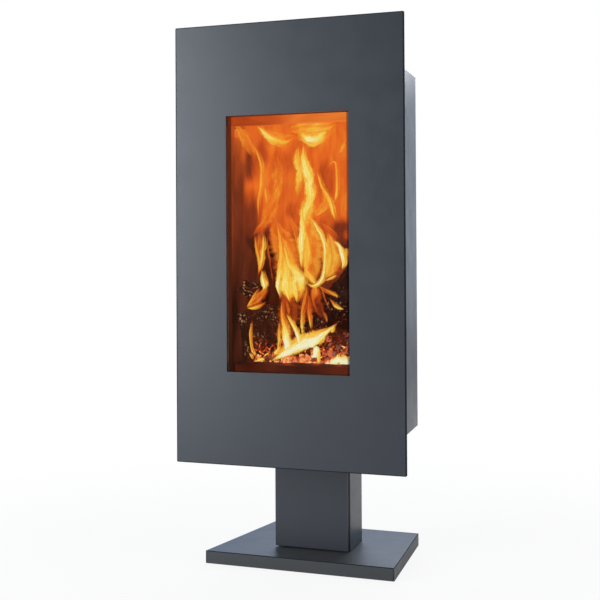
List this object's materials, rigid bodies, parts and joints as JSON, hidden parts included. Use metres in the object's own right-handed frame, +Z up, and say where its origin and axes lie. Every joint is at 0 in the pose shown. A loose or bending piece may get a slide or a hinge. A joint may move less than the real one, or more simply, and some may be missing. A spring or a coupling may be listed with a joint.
{
  "type": "wood burning stove",
  "caption": "Slim pedestal wood burning stove with a tall flat front plate door, a window onto burning logs, a body that narrows to the back, a flue collar and a thin base.",
  "frame": {"origin": "centre of the bounding box's bottom face, on the floor", "axes": "+Z up, the door's window faces -Y, +X to the right of someone facing the door"},
  "size_m": [0.552, 0.39, 1.25],
  "materials": {
    "dark_paint": "satin heat-proof anthracite paint",
    "heat_paint": "matt black heat-proof paint",
    "raw_steel": "rolled steel",
    "zinc_steel": "zinc plated",
    "brass": "plain",
    "iron": "cast",
    "fire_board": "vermiculite board, sooted",
    "fire_glass": "clear ceramic glass",
    "rope_seal": "woven glass fibre rope",
    "charred_wood": "charred and glowing",
    "embers": "glowing embers and ash"
  },
  "bodies": {
    "stove": {"base_plate": "raw_steel", "base_cover": "dark_paint", "base_spacers": "zinc_steel", "levelling_screws": "zinc_steel", "column_flanges": "dark_paint", "column_tube": "dark_paint", "column_fasteners": "zinc_steel", "pedestal_front_cover": "dark_paint", "cover_standoffs": "dark_paint", "casing_bottom": "dark_paint", "casing_top": "dark_paint", "casing_left": "dark_paint", "casing_right": "dark_paint", "casing_back": "dark_paint", "casing_screws": "zinc_steel", "front_frame": "heat_paint", "firebox_base": "heat_paint", "firebox_left_wall": "heat_paint", "firebox_right_wall": "heat_paint", "firebox_back_wall": "heat_paint", "firebox_roof": "heat_paint", "firebox_floor": "heat_paint", "flue_collar": "iron", "flue_trim_ring": "dark_paint", "lining_left": "fire_board", "lining_right": "fire_board", "lining_back": "fire_board", "floor_bricks": "fire_board", "grate": "iron", "baffle_lower": "fire_board", "baffle_rails": "heat_paint", "baffle_upper": "heat_paint", "log_guard": "heat_paint", "air_wash_duct": "heat_paint", "ash_pan": "raw_steel", "ash_pan_runners": "raw_steel", "hinge_brackets": "heat_paint", "hinge_pins": "zinc_steel", "hinge_washers": "brass", "latch_keepers": "zinc_steel", "air_slider_rails": "heat_paint", "ember_bed": "embers", "log_left": "charred_wood", "log_front": "charred_wood", "log_back": "charred_wood", "log_leaning": "charred_wood"},
    "door": {"front_plate": "dark_paint", "glass_pane": "fire_glass", "glass_gaskets": "rope_seal", "door_frame": "heat_paint", "door_seal_rope": "rope_seal", "plate_fixings": "zinc_steel", "hinge_lugs": "heat_paint", "latch_bearings": "heat_paint"},
    "latch": {"latch_shaft": "zinc_steel", "latch_collars": "zinc_steel", "latch_hooks": "zinc_steel", "handle_grip": "dark_paint"},
    "air_control": {"air_slider": "raw_steel", "air_slider_knob": "zinc_steel"}
  },
  "joints": [
    {"name": "door_swing", "type": "hinge", "parent": "stove", "child": "door", "pos_m": [-0.244, -0.164, 0.71], "axis": [0, 0, -1], "range_deg": [0, 115]},
    {"name": "latch_turn", "type": "hinge", "parent": "door", "child": "latch", "pos_m": [0.226, -0.169, 0.753], "axis": [0, 0, 1], "range_deg": [0, 40]},
    {"name": "air_slide", "type": "slide", "parent": "stove", "child": "air_control", "axis": [1, 0, 0], "range_m": [0, 0.024]}
  ]
}
